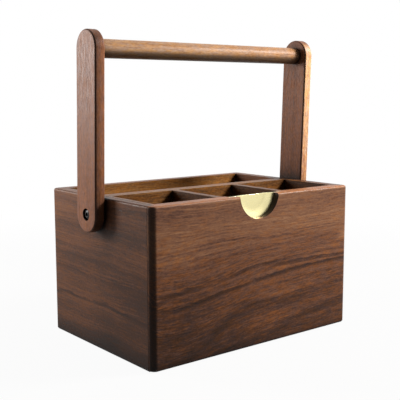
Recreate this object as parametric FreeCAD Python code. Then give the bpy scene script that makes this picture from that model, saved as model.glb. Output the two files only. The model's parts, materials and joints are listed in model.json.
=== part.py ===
import FreeCAD, Part

import math
import os

os.makedirs("parts", exist_ok=True)

# Utensil caddy: an open walnut box with a swing handle. Its front tray, with three cells, is a drawer.
# Millimetres. Origin in the middle of the underside, +X to the right, +Y to the back, +Z up.
# Pieces on the left are drawn, and their right-hand twins are mirrored across the YZ plane.

# Box
box_width = 230.0
box_depth = 161.5
box_height = 135.0
corner_radius = 5.6           # rounding of the box's upright corners
edge_radius = 2.0             # easing of its long outer edges
side_skin = 7.0               # side wall where the drawer runs beside it
back_thickness = 11.0
base_thickness = 8.0
base_seat = 6.0               # how far the base is let into the side walls
base_back_seat = 5.0          # how far it is let into the back panel
partition_thickness = 6.5
partition_housing = 3.0       # how far the partition is let into the side walls

# Drawer
front_thickness = 12.0
lip_thickness = 5.8           # outer layer of the drawer front, which covers the side walls' ends
front_floor_gap = 0.6
drawer_side_thickness = 4.1
drawer_back_thickness = 6.0
drawer_bottom_thickness = 4.0
drawer_bottom_lift = 3.0      # from the drawer sides' lower edge up to the bottom panel
drawer_bottom_groove = 2.0
divider_thickness = 7.0
divider_housing = 2.5
cell_depth = 63.0             # clear size of the three cells from front to back
cells = 3
side_tongue = 4.0             # drawer sides let into the drawer front
stopped_length = 10.0         # how far below the rim the housings stop
side_running_gap = 0.4        # drawer side to side wall
end_gap = 0.4                 # drawer front's lip to the ends of the side walls
rear_gap = 0.5                # drawer back to the partition
lift_gap = 0.3                # drawer above its runners and its guide rail
drawer_travel = 47.0
stop_gap = 0.5                # left at the stops when the drawer is fully out

# Finger notch and the brass plate behind it, let into the back of the drawer front
notch_radius = 22.2
notch_depth = 20.6
notch_easing = 0.8
plate_gap = 2.5               # to the divider on each side
plate_cover = 6.2             # wood in front of the plate
plate_recess_gap = 0.2        # around the plate in its recess
plate_height = 34.0
plate_thickness = 1.5
plate_corner_radius = 6.0
plate_screw_inset_x = 3.6
plate_screw_inset_top = 8.0
plate_screw_inset_bottom = 5.0
plate_screw_pull_in = 7.0     # how much closer the two lower screws sit

# Runners, guide rail and stops under the drawer
runner_width = 10.0
runner_height = 2.0
rail_width = 10.0
rail_side_gap = 0.4
rail_end_gap = 5.0            # rail's ends to the drawer front and the partition
stop_spread = 120.0           # distance between the two stops
stop_block_width = 12.0
stop_block_depth = 7.5
stop_block_floor_gap = 0.8
stop_pin_diameter = 3.0
stop_pin_seat = 6.0
stop_pin_top_gap = 0.6

# Handle
pivot_drop = 14.5             # pivot below the rim
pivot_y = 0.0
handle_reach = 139.0          # pivot to the centre of the grip bar
handle_lean = 2.0             # degrees forward
arm_width = 31.0
arm_thickness = 9.5
arm_easing = 1.5
arm_gap = 1.5                 # filled by a spacer washer at the pivot
bar_diameter = 16.0
tenon_diameter = 12.0
tenon_length = 6.0
tenon_end_gap = 0.2

# Pivot hardware, M5
bolt_diameter = 5.0
bolt_length = 12.0
bolt_head_diameter = 9.5
bolt_head_height = 2.75
bolt_head_rim = 0.5
bolt_head_flat = 4.4          # diameter of the flat on top of the domed head
bolt_hex = 3.0
bolt_hex_depth = 1.6
counterbore_diameter = 10.4
counterbore_depth = 4.5
head_washer_diameter = 10.0
head_washer_thickness = 1.0
spacer_diameter = 16.0
insert_diameter = 7.0
insert_length = 6.0

# Joinery and wood screws
dowel_diameter = 6.0
dowel_in_side = 7.0
dowel_in_back = 11.0
dowel_count = 3               # at each end of the back panel
dowel_inset = 20.0            # outermost dowels from the panel's ends
screw_diameter = 3.0
screw_head_diameter = 6.0
screw_length = 18.0
screw_sink = 0.3              # heads lie this far under the surface
rail_screw_length = 11.0
screw_row = 70.0              # spacing of the screws along the back panel and the partition
side_screw_inset = 17.0       # side screws to the partition and to the back panel
rail_screw_inset = 12.0
plate_screw_diameter = 2.2
plate_screw_head = 4.2
plate_screw_length = 5.5
cross_width = 0.16            # recess in a screw head, as shares of the head's diameter
cross_span = 0.6
cross_depth = 0.2
panel_pin_diameter = 1.6
panel_pin_length = 14.0
panel_pin_inset = 12.0

# Fits
fit = 0.05                    # radial clearance of a pin, dowel, screw or shaft in its hole
hole_end_gap = 0.2            # left at the bottom of a blind hole or groove

# Derived places
half_width = box_width / 2
pivot_height = box_height - pivot_drop
front_y = -box_depth / 2
back_y = box_depth / 2
front_inner_y = front_y + front_thickness
lip_y = front_y + lip_thickness
side_front_y = lip_y + end_gap
back_inner_y = back_y - back_thickness
wall = side_skin + side_running_gap + drawer_side_thickness
side_inner_x = half_width - wall
skin_inner_x = half_width - side_skin
drawer_side_x = skin_inner_x - side_running_gap
drawer_back_y = front_inner_y + cell_depth
drawer_end_y = drawer_back_y + drawer_back_thickness
partition_y = drawer_end_y + rear_gap
bay_y = partition_y + partition_thickness
runner_top = base_thickness + runner_height
drawer_z = runner_top + lift_gap
drawer_bottom_z = drawer_z + drawer_bottom_lift
cell_floor_z = drawer_bottom_z + drawer_bottom_thickness
rail_top = drawer_bottom_z - lift_gap
cell_width = (2 * side_inner_x - (cells - 1) * divider_thickness) / cells
plate_width = cell_width - 2 * plate_gap
plate_y = front_y + plate_cover
notch_z = box_height - notch_depth + notch_radius
housing_top = box_height - stopped_length
base_edge_x = half_width - base_seat
base_back_y = back_inner_y + base_back_seat
base_front_y = front_inner_y + end_gap
arm_inner_x = half_width + arm_gap
arm_outer_x = arm_inner_x + arm_thickness
counterbore_x = arm_outer_x - counterbore_depth


def vector(x, y, z):
    return FreeCAD.Vector(x, y, z)


def block(x, y, z):
    # A box from its low and high bounds along each axis.
    return Part.makeBox(x[1] - x[0], y[1] - y[0], z[1] - z[0], vector(x[0], y[0], z[0]))


def rod(diameter, start, end):
    line = end - start
    return Part.makeCylinder(diameter / 2, line.Length, start, line)


def mirrored(shape):
    return shape.mirror(vector(0, 0, 0), vector(1, 0, 0))


def both_sides(shape):
    return Part.makeCompound([shape, mirrored(shape)])


def rounded(shape, radius, wanted):
    # Rounds the edges whose middle point passes the test.
    return shape.makeFillet(radius, [edge for edge in shape.Edges if wanted(edge.CenterOfMass)])


def near(a, b):
    return abs(a - b) < 0.01


def placed(shape, position, direction):
    # Moves a shape drawn along +Z from the origin.
    turn = FreeCAD.Rotation(vector(0, 0, 1), direction)
    moved = shape.copy()
    moved.Placement = FreeCAD.Placement(position, turn)
    return moved


def turned(points):
    # A solid of revolution about Z, from (radius, height) points.
    ring = [vector(radius, 0, height) for radius, height in points]
    face = Part.Face(Part.makePolygon(ring + ring[:1]))
    return face.revolve(vector(0, 0, 0), vector(0, 0, 1), 360)


# Screws

def screw(head, shank, length):
    # Countersunk wood screw, from the top of its head at z = 0 to its point.
    cone = (head - shank) / 2
    blank = turned([(0, 0), (head / 2, 0), (shank / 2, cone), (shank / 2, length - shank), (0, length)])
    bar = head * cross_span
    slot = block((-bar / 2, bar / 2), (-head * cross_width / 2, head * cross_width / 2), (0, head * cross_depth))
    other = slot.copy()
    other.rotate(vector(0, 0, 0), vector(0, 0, 1), 90)
    return blank.cut(slot).cut(other)


def screw_hole(head, shank, length, sink):
    # The hole that the screw fits, with the mouth above the sunk head.
    cone = (head - shank) / 2
    wide = head / 2 + fit
    thin = shank / 2 + fit
    low = length + hole_end_gap
    return turned([(0, -sink), (wide, -sink), (wide, 0), (thin, cone), (thin, low), (0, low)])


def base_screw_places():
    side_x = (base_edge_x + side_inner_x) / 2
    side_ys = (bay_y + side_screw_inset, back_inner_y - side_screw_inset)
    row_ys = ((partition_y + bay_y) / 2, (back_inner_y + base_back_y) / 2)
    sides = [(x, y) for x in (-side_x, side_x) for y in side_ys]
    rows = [(x, y) for x in (-screw_row, 0, screw_row) for y in row_ys]
    return [vector(x, y, screw_sink) for x, y in sides + rows]


def rail_screw_places():
    ends = (base_front_y + rail_end_gap + rail_screw_inset, partition_y - rail_end_gap - rail_screw_inset)
    return [vector(0, y, screw_sink) for y in ends]


def plate_screw_places():
    y = plate_y + plate_thickness
    x = plate_width / 2 - plate_screw_inset_x
    high = box_height - plate_screw_inset_top
    low = box_height - plate_height + plate_screw_inset_bottom
    upper = [vector(side * x, y, high) for side in (-1, 1)]
    lower = [vector(side * (x - plate_screw_pull_in), y, low) for side in (-1, 1)]
    return upper + lower


up = vector(0, 0, 1)
forward = vector(0, -1, 0)


def base_screws():
    one = screw(screw_head_diameter, screw_diameter, screw_length)
    return Part.makeCompound([placed(one, place, up) for place in base_screw_places()])


def base_screw_holes():
    one = screw_hole(screw_head_diameter, screw_diameter, screw_length, screw_sink)
    return Part.makeCompound([placed(one, place, up) for place in base_screw_places()])


def rail_screws():
    one = screw(screw_head_diameter, screw_diameter, rail_screw_length)
    return Part.makeCompound([placed(one, place, up) for place in rail_screw_places()])


def rail_screw_holes():
    one = screw_hole(screw_head_diameter, screw_diameter, rail_screw_length, screw_sink)
    return Part.makeCompound([placed(one, place, up) for place in rail_screw_places()])


def plate_screws():
    one = screw(plate_screw_head, plate_screw_diameter, plate_screw_length)
    return Part.makeCompound([placed(one, place, forward) for place in plate_screw_places()])


def plate_screw_holes():
    one = screw_hole(plate_screw_head, plate_screw_diameter, plate_screw_length, 0)
    return Part.makeCompound([placed(one, place, forward) for place in plate_screw_places()])


# Fixed box

def dowel_spans(extra):
    y = (back_inner_y + back_y) / 2
    outer = -side_inner_x - dowel_in_side - extra
    inner = -side_inner_x + dowel_in_back + extra
    spacing = (box_height - 2 * dowel_inset) / (dowel_count - 1)
    heights = [dowel_inset + index * spacing for index in range(dowel_count)]
    return [(vector(outer, y, z), vector(inner, y, z)) for z in heights]


def corner_dowels():
    left = [rod(dowel_diameter, start, end) for start, end in dowel_spans(0)]
    return Part.makeCompound(left + [mirrored(dowel) for dowel in left])


def dowel_holes():
    width = dowel_diameter + 2 * fit
    left = [rod(width, start, end) for start, end in dowel_spans(hole_end_gap)]
    return Part.makeCompound(left + [mirrored(hole) for hole in left])


def insert_hole():
    mouth = vector(-half_width, pivot_y, pivot_height)
    return rod(insert_diameter + 2 * fit, mouth, mouth + vector(insert_length + hole_end_gap, 0, 0))


def left_side():
    board = block((-half_width, -side_inner_x), (side_front_y, back_y), (0, box_height))
    board = rounded(board, corner_radius, lambda p: near(p.x, -half_width) and near(p.y, back_y))
    board = rounded(board, edge_radius, lambda p: near(p.x, -half_width) and p.y < back_y - corner_radius
                    and (near(p.z, 0) or near(p.z, box_height)))
    drawer_space = block((-skin_inner_x, -side_inner_x), (side_front_y, partition_y), (base_thickness, box_height))
    front_space = block((-skin_inner_x, -side_inner_x), (side_front_y, base_front_y), (0, base_thickness))
    base_rebate = block((-base_edge_x, -side_inner_x), (base_front_y, base_back_y), (0, base_thickness))
    housing = block((-side_inner_x - partition_housing, -side_inner_x), (partition_y, bay_y),
                    (base_thickness, box_height))
    for cutter in (drawer_space, front_space, base_rebate, housing, insert_hole(), dowel_holes(), base_screw_holes()):
        board = board.cut(cutter)
    return board


def back_panel():
    board = block((-side_inner_x, side_inner_x), (back_inner_y, back_y), (0, box_height))
    board = rounded(board, edge_radius, lambda p: near(p.y, back_y) and (near(p.z, 0) or near(p.z, box_height)))
    rebate = block((-side_inner_x, side_inner_x), (back_inner_y, base_back_y), (0, base_thickness))
    return board.cut(rebate).cut(dowel_holes()).cut(base_screw_holes())


def base_panel():
    board = block((-base_edge_x, base_edge_x), (base_front_y, base_back_y), (0, base_thickness))
    return board.cut(base_screw_holes()).cut(rail_screw_holes()).cut(stop_pin_holes())


def centre_partition():
    reach = side_inner_x + partition_housing
    board = block((-reach, reach), (partition_y, bay_y), (base_thickness, box_height))
    return board.cut(base_screw_holes())


# Drawer runners, guide and stops

def drawer_runner_left():
    return block((-skin_inner_x, -skin_inner_x + runner_width), (base_front_y, partition_y),
                 (base_thickness, runner_top))


def drawer_guide_rail():
    rail = block((-rail_width / 2, rail_width / 2), (base_front_y + rail_end_gap, partition_y - rail_end_gap),
                 (base_thickness, rail_top))
    return rail.cut(rail_screw_holes())


def stop_block_y():
    # Front and back of the stop blocks, which sit against the drawer back.
    return drawer_back_y - stop_block_depth, drawer_back_y


def stop_pin(extra):
    # The pin that the left stop block meets when the drawer is fully out.
    y = stop_block_y()[0] - drawer_travel - stop_gap - stop_pin_diameter / 2
    low = vector(-stop_spread / 2, y, base_thickness - stop_pin_seat - extra)
    high = vector(-stop_spread / 2, y, drawer_bottom_z - stop_pin_top_gap)
    return rod(stop_pin_diameter + 2 * (fit if extra else 0), low, high)


def drawer_stop_pins():
    return both_sides(stop_pin(0))


def stop_pin_holes():
    return both_sides(stop_pin(hole_end_gap))


def drawer_stop_blocks():
    x = stop_spread / 2
    return both_sides(block((-x - stop_block_width / 2, -x + stop_block_width / 2), stop_block_y(),
                            (base_thickness + stop_block_floor_gap, drawer_bottom_z)))


# Drawer

def notch():
    # A cylinder across the drawer front, flared where the notch's front edge is eased.
    rim = notch_radius + notch_easing
    bend = notch_easing * (1 - math.sqrt(0.5))
    front = vector(0, 0, 0)
    points = [vector(0, 0, -1), vector(rim, 0, -1), vector(rim, 0, 0)]
    flare = Part.Arc(points[2], vector(notch_radius + bend, 0, bend), vector(notch_radius, 0, notch_easing))
    far = vector(notch_radius, 0, front_thickness)
    edges = [Part.LineSegment(points[0], points[1]), Part.LineSegment(points[1], points[2]), flare,
             Part.LineSegment(vector(notch_radius, 0, notch_easing), far),
             Part.LineSegment(far, vector(0, 0, front_thickness)),
             Part.LineSegment(vector(0, 0, front_thickness), points[0])]
    face = Part.Face(Part.Wire([edge.toShape() for edge in edges]))
    tool = face.revolve(front, up, 360)
    return placed(tool, vector(0, front_y, notch_z), vector(0, 1, 0))


def plate_recess():
    half = plate_width / 2 + plate_recess_gap
    low = box_height - plate_height - plate_recess_gap
    room = block((-half, half), (plate_y, front_inner_y), (low, box_height))
    return rounded(room, plate_corner_radius + plate_recess_gap, lambda p: near(abs(p.x), half) and near(p.z, low))


def divider_span(index):
    low = -side_inner_x + index * cell_width + (index - 1) * divider_thickness
    return low, low + divider_thickness


def divider(index):
    reach = (front_inner_y - divider_housing, drawer_back_y + divider_housing)
    middle = block(divider_span(index), (front_inner_y, drawer_back_y), (cell_floor_z, box_height))
    tongue = block(divider_span(index), reach, (cell_floor_z, housing_top))
    return middle.fuse(tongue).removeSplitter()


def divider_housings():
    reach = (front_inner_y - divider_housing, drawer_back_y + divider_housing)
    return Part.makeCompound([block(divider_span(index), reach, (cell_floor_z, housing_top))
                              for index in range(1, cells)])


def drawer_bottom():
    edge = side_inner_x + drawer_bottom_groove
    return block((-edge, edge), (front_inner_y - drawer_bottom_groove, drawer_back_y + drawer_bottom_groove),
                 (drawer_bottom_z, cell_floor_z))


def bottom_groove():
    edge = side_inner_x + drawer_bottom_groove + hole_end_gap
    low = front_inner_y - drawer_bottom_groove - hole_end_gap
    high = drawer_back_y + drawer_bottom_groove + hole_end_gap
    return block((-edge, edge), (low, high), (drawer_bottom_z, cell_floor_z))


def drawer_front():
    board = block((-half_width, half_width), (front_y, front_inner_y), (front_floor_gap, box_height))
    board = rounded(board, corner_radius, lambda p: near(p.y, front_y) and near(abs(p.x), half_width))
    board = rounded(board, edge_radius, lambda p: p.y < front_inner_y - edge_radius
                    and (near(p.z, front_floor_gap) or near(p.z, box_height)))
    end_rebates = both_sides(block((-half_width, -drawer_side_x), (lip_y, front_inner_y),
                                   (front_floor_gap, box_height)))
    side_groove = both_sides(block((-drawer_side_x, -side_inner_x),
                                   (front_inner_y - side_tongue, front_inner_y), (drawer_z, housing_top)))
    for cutter in (end_rebates, notch(), plate_recess(), side_groove, divider_housings(), bottom_groove(),
                   plate_screw_holes()):
        board = board.cut(cutter)
    return board


def panel_pin_spans(extra):
    y = (drawer_back_y + drawer_end_y) / 2
    heights = (cell_floor_z + panel_pin_inset, (cell_floor_z + box_height) / 2, box_height - panel_pin_inset)
    inner = -drawer_side_x + panel_pin_length + extra
    return [(vector(-drawer_side_x, y, z), vector(inner, y, z)) for z in heights]


def drawer_panel_pins():
    left = [rod(panel_pin_diameter, start, end) for start, end in panel_pin_spans(0)]
    return Part.makeCompound(left + [mirrored(pin) for pin in left])


def panel_pin_holes():
    width = panel_pin_diameter + 2 * fit
    left = [rod(width, start, end) for start, end in panel_pin_spans(hole_end_gap)]
    return Part.makeCompound(left + [mirrored(hole) for hole in left])


def drawer_left_side():
    x = (-drawer_side_x, -side_inner_x)
    board = block(x, (front_inner_y, drawer_end_y), (drawer_z, box_height))
    tongue = block(x, (front_inner_y - side_tongue, front_inner_y), (drawer_z, housing_top))
    return board.fuse(tongue).removeSplitter().cut(bottom_groove()).cut(panel_pin_holes())


def drawer_back():
    board = block((-side_inner_x, side_inner_x), (drawer_back_y, drawer_end_y), (drawer_z, box_height))
    half_slot = rail_width / 2 + rail_side_gap
    rail_slot = block((-half_slot, half_slot), (drawer_back_y, drawer_end_y), (drawer_z, drawer_bottom_z))
    for cutter in (rail_slot, divider_housings(), bottom_groove(), panel_pin_holes()):
        board = board.cut(cutter)
    return board


def pull_plate():
    half, low = plate_width / 2, box_height - plate_height
    plate = block((-half, half), (plate_y, plate_y + plate_thickness), (low, box_height))
    plate = rounded(plate, plate_corner_radius, lambda p: near(abs(p.x), half) and near(p.z, low))
    return plate.cut(plate_screw_holes())


# Handle: two arms outside the box and a bar between them, leaning a little forward

def leaning(shape):
    moved = shape.copy()
    moved.rotate(vector(0, pivot_y, pivot_height), vector(1, 0, 0), handle_lean)
    return moved


def left_arm():
    r = arm_width / 2
    low, high = pivot_height, pivot_height + handle_reach
    x = -arm_outer_x
    corners = [vector(x, pivot_y - r, low), vector(x, pivot_y + r, low),
               vector(x, pivot_y + r, high), vector(x, pivot_y - r, high)]
    outline = [Part.Arc(corners[0], vector(x, pivot_y, low - r), corners[1]),
               Part.LineSegment(corners[1], corners[2]),
               Part.Arc(corners[2], vector(x, pivot_y, high + r), corners[3]),
               Part.LineSegment(corners[3], corners[0])]
    face = Part.Face(Part.Wire([edge.toShape() for edge in outline]))
    arm = face.extrude(vector(arm_thickness, 0, 0))
    arm = rounded(arm, arm_easing, lambda p: near(p.x, -arm_outer_x) or near(p.x, -arm_inner_x))
    pivot = vector(-arm_inner_x, pivot_y, low)
    seat = rod(counterbore_diameter, vector(-arm_outer_x, pivot_y, low), vector(-counterbore_x, pivot_y, low))
    bolt_hole = rod(bolt_diameter + 2 * fit, vector(-arm_outer_x, pivot_y, low), pivot)
    mortise_mouth = vector(-arm_inner_x, pivot_y, high)
    mortise = rod(tenon_diameter + 2 * fit, mortise_mouth, mortise_mouth - vector(tenon_length, 0, 0))
    return leaning(arm.cut(seat).cut(bolt_hole).cut(mortise))


def grip_bar():
    z = pivot_height + handle_reach
    tip = arm_inner_x + tenon_length - tenon_end_gap
    bar = rod(bar_diameter, vector(-arm_inner_x, pivot_y, z), vector(arm_inner_x, pivot_y, z))
    tenons = rod(tenon_diameter, vector(-tip, pivot_y, z), vector(tip, pivot_y, z))
    return leaning(bar.fuse(tenons).removeSplitter())


# Pivot hardware

def left_pivot_bolt():
    # Button-head socket screw, drawn with its shank along +Z and its head below z = 0.
    rim, flat = bolt_head_diameter / 2, bolt_head_flat / 2
    shoulder = vector(rim, 0, -bolt_head_rim)
    crown = vector(flat, 0, -bolt_head_height)
    sag = vector((rim * 2 + flat) / 3, 0, -bolt_head_height * 0.7)
    outline = [Part.LineSegment(vector(0, 0, 0), vector(rim, 0, 0)),
               Part.LineSegment(vector(rim, 0, 0), shoulder),
               Part.Arc(shoulder, sag, crown),
               Part.LineSegment(crown, vector(0, 0, -bolt_head_height)),
               Part.LineSegment(vector(0, 0, -bolt_head_height), vector(0, 0, 0))]
    head = Part.Face(Part.Wire([edge.toShape() for edge in outline])).revolve(vector(0, 0, 0), up, 360)
    shank = Part.makeCylinder(bolt_diameter / 2, bolt_length)
    across_corners = bolt_hex / math.cos(math.radians(30))
    ring = [vector(across_corners / 2 * math.cos(math.radians(60 * i)),
                   across_corners / 2 * math.sin(math.radians(60 * i)), -bolt_head_height) for i in range(7)]
    socket = Part.Face(Part.makePolygon(ring)).extrude(vector(0, 0, bolt_hex_depth))
    bolt = head.fuse(shank).removeSplitter().cut(socket)
    seat = vector(-counterbore_x - head_washer_thickness, pivot_y, pivot_height)
    return placed(bolt, seat, vector(1, 0, 0))


def washer(diameter, low_x, high_x):
    low = vector(low_x, pivot_y, pivot_height)
    high = vector(high_x, pivot_y, pivot_height)
    return rod(diameter, low, high).cut(rod(bolt_diameter + 2 * fit, low, high))


def left_head_washer():
    return washer(head_washer_diameter, -counterbore_x - head_washer_thickness, -counterbore_x)


def left_spacer():
    return washer(spacer_diameter, -arm_inner_x, -half_width)


def left_pivot_insert():
    return washer(insert_diameter, -half_width, -half_width + insert_length)


pieces = {
    "left_side": left_side(),
    "right_side": mirrored(left_side()),
    "back_panel": back_panel(),
    "base_panel": base_panel(),
    "centre_partition": centre_partition(),
    "corner_dowels": corner_dowels(),
    "base_screws": base_screws(),
    "drawer_runner_left": drawer_runner_left(),
    "drawer_runner_right": mirrored(drawer_runner_left()),
    "drawer_guide_rail": drawer_guide_rail(),
    "rail_screws": rail_screws(),
    "drawer_stop_pins": drawer_stop_pins(),
    "drawer_front": drawer_front(),
    "drawer_left_side": drawer_left_side(),
    "drawer_right_side": mirrored(drawer_left_side()),
    "drawer_back": drawer_back(),
    "drawer_bottom": drawer_bottom(),
    "drawer_divider_left": divider(1),
    "drawer_divider_right": divider(2),
    "drawer_panel_pins": drawer_panel_pins(),
    "drawer_stop_blocks": drawer_stop_blocks(),
    "pull_plate": pull_plate(),
    "pull_plate_screws": plate_screws(),
    "left_arm": left_arm(),
    "right_arm": mirrored(left_arm()),
    "grip_bar": grip_bar(),
    "left_pivot_bolt": left_pivot_bolt(),
    "right_pivot_bolt": mirrored(left_pivot_bolt()),
    "left_head_washer": left_head_washer(),
    "right_head_washer": mirrored(left_head_washer()),
    "left_spacer": left_spacer(),
    "right_spacer": mirrored(left_spacer()),
    "left_pivot_insert": left_pivot_insert(),
    "right_pivot_insert": mirrored(left_pivot_insert()),
}

for name, shape in pieces.items():
    shape.exportStep("parts/" + name + ".step")
    print(name, len(shape.Solids), "solids", round(shape.Volume), "mm3", "valid" if shape.isValid() else "BROKEN")
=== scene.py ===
import json
import math

import bmesh
import bpy
from mathutils import Matrix, Vector


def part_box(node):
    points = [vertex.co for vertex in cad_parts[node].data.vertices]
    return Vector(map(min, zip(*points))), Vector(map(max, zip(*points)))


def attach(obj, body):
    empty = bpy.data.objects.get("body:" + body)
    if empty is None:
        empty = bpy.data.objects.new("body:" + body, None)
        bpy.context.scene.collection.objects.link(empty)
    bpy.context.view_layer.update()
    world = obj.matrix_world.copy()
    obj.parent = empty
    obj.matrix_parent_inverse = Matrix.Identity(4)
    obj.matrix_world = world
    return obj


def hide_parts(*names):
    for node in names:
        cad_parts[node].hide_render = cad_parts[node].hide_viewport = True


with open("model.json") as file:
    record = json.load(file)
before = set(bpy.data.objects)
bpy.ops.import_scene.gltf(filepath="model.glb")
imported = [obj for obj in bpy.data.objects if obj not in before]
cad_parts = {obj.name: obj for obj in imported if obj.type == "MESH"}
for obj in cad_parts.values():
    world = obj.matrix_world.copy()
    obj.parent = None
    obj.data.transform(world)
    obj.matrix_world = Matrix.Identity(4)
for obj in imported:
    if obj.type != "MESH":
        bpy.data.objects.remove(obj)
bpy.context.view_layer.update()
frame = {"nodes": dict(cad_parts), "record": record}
nodes = frame["nodes"]
mm = 0.001
print("frame loaded:", len(nodes), "nodes")


# Camera: stands in front of the box and to its left, a little above the rim

camera = {
    "position": (-0.45506, -0.56777, 0.22214),
    "yaw": 38.581,
    "down": 7.832,
    "roll": 0.090,
    "lens": 69.654,
    "sensor": 36.0,
}


def placeCamera(look):
    yaw, down, roll = (math.radians(look[key]) for key in ("yaw", "down", "roll"))
    ahead = Vector((math.sin(yaw) * math.cos(down), math.cos(yaw) * math.cos(down), -math.sin(down)))
    level = Vector((math.cos(yaw), -math.sin(yaw), 0))
    up = level.cross(ahead)
    right = level * math.cos(roll) - up * math.sin(roll)
    top = level * math.sin(roll) + up * math.cos(roll)
    data = bpy.data.cameras.new("camera")
    data.lens = look["lens"]
    data.sensor_width = look["sensor"]
    data.clip_start = 0.01
    eye = bpy.data.objects.new("camera", data)
    turn = Matrix((right, top, -ahead)).transposed().to_4x4()
    eye.matrix_world = Matrix.Translation(look["position"]) @ turn
    bpy.context.scene.collection.objects.link(eye)
    bpy.context.scene.camera = eye


placeCamera(camera)
bpy.context.scene.view_settings.view_transform = "Standard"


# Light, floor and backdrop

studio = {
    "floorSize": 8.0,
    "floorColour": (0.34, 0.335, 0.33, 1),
    "floorShade": 0.05,
    "shadeFades": (0.30, 0.75),
    "ambient": 0.03,
    "lamps": {
        "keyRight": {"at": (0.74, -0.50, 0.72), "aim": (0.0, -0.05, 0.12), "size": (0.30, 0.30),
                     "watts": 24.0, "colour": (1.0, 0.96, 0.92)},
        "fillLeft": {"at": (-0.44, 0.49, 0.31), "aim": (-0.10, 0.0, 0.12), "size": (0.16, 0.26),
                     "watts": 5.0, "colour": (1.0, 0.97, 0.95)},
        "skyTop": {"at": (0.05, 0.10, 0.95), "aim": (0.0, 0.0, 0.1), "size": (0.7, 0.7), "watts": 1.5,
                   "colour": (1.0, 0.99, 0.98)},
    },
}


def seenDirectly(tree):
    # 1 for rays that look straight, in a mirror or through glass, and 0 for the light that bounces
    path = tree.nodes.new("ShaderNodeLightPath")
    glossy = calc(tree, "MAXIMUM", path.outputs["Is Camera Ray"], path.outputs["Is Glossy Ray"])
    return calc(tree, "MAXIMUM", glossy, path.outputs["Is Transmission Ray"])


def wire(tree, source, target):
    if isinstance(source, (int, float, tuple)):
        target.default_value = source
    else:
        tree.links.new(source, target)


def calc(tree, operation, *terms):
    node = tree.nodes.new("ShaderNodeMath")
    node.operation = operation
    for term, socket in zip(terms, node.inputs):
        wire(tree, term, socket)
    return node.outputs[0]


def ranged(tree, value, low, high, outLow=0.0, outHigh=1.0, smooth=True):
    node = tree.nodes.new("ShaderNodeMapRange")
    node.interpolation_type = "SMOOTHSTEP" if smooth else "LINEAR"
    wire(tree, value, node.inputs["Value"])
    for socket, number in zip(("From Min", "From Max", "To Min", "To Max"), (low, high, outLow, outHigh)):
        wire(tree, number, node.inputs[socket])
    return node.outputs[0]


def makeWorld(look):
    world = bpy.data.worlds.new("studio")
    bpy.context.scene.world = world
    world.use_nodes = True
    tree = world.node_tree
    background = tree.nodes["Background"]
    background.inputs["Color"].default_value = (1, 1, 1, 1)
    lift = calc(tree, "MULTIPLY", seenDirectly(tree), 1 - look["ambient"])
    wire(tree, calc(tree, "ADD", lift, look["ambient"]), background.inputs["Strength"])


def makeFloor(look):
    half = look["floorSize"] / 2
    mesh = bpy.data.meshes.new("floor")
    corners = [(-half, -half, 0), (half, -half, 0), (half, half, 0), (-half, half, 0)]
    mesh.from_pydata([(x, y, -0.1 * mm) for x, y, z in corners], [], [(0, 1, 2, 3)])
    floor = bpy.data.objects.new("floor", mesh)
    bpy.context.scene.collection.objects.link(floor)
    material = bpy.data.materials.new("paleFloor")
    material.use_nodes = True
    tree = material.node_tree
    tree.nodes.remove(tree.nodes["Principled BSDF"])
    matt = tree.nodes.new("ShaderNodeBsdfDiffuse")
    matt.inputs["Color"].default_value = look["floorColour"]
    glow = tree.nodes.new("ShaderNodeEmission")
    mix = tree.nodes.new("ShaderNodeMixShader")
    place = tree.nodes.new("ShaderNodeTexCoord")
    far = tree.nodes.new("ShaderNodeVectorMath")
    far.operation = "LENGTH"
    tree.links.new(place.outputs["Object"], far.inputs[0])
    near, away = look["shadeFades"]
    white = ranged(tree, far.outputs["Value"], near, away, 1 - look["floorShade"], 1)
    wire(tree, calc(tree, "MULTIPLY", seenDirectly(tree), white), mix.inputs[0])
    tree.links.new(matt.outputs[0], mix.inputs[1])
    tree.links.new(glow.outputs[0], mix.inputs[2])
    tree.links.new(mix.outputs[0], tree.nodes["Material Output"].inputs["Surface"])
    mesh.materials.append(material)


def makeLamp(name, look):
    data = bpy.data.lights.new(name, "AREA")
    data.shape = "RECTANGLE"
    data.size, data.size_y = look["size"]
    data.energy = look["watts"]
    data.color = look["colour"]
    lamp = bpy.data.objects.new(name, data)
    lamp.location = look["at"]
    aim = Vector(look["aim"]) - Vector(look["at"])
    lamp.rotation_euler = aim.to_track_quat("-Z", "Y").to_euler()
    bpy.context.scene.collection.objects.link(lamp)


makeWorld(studio)
makeFloor(studio)
for lampName, lampLook in studio["lamps"].items():
    makeLamp(lampName, lampLook)
print("camera, lamps and floor placed")


# Wood
# The pattern is solid: u runs along the grain, v across the face and w through the thickness, in millimetres.

grainTurns = {
    "x front": Matrix(((1, 0, 0), (0, 0, 1), (0, -1, 0))),
    "x flat": Matrix.Identity(3),
    "y side": Matrix(((0, 1, 0), (0, 0, 1), (1, 0, 0))),
    "z side": Matrix(((0, 0, 1), (0, 1, 0), (-1, 0, 0))),
}

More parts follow.
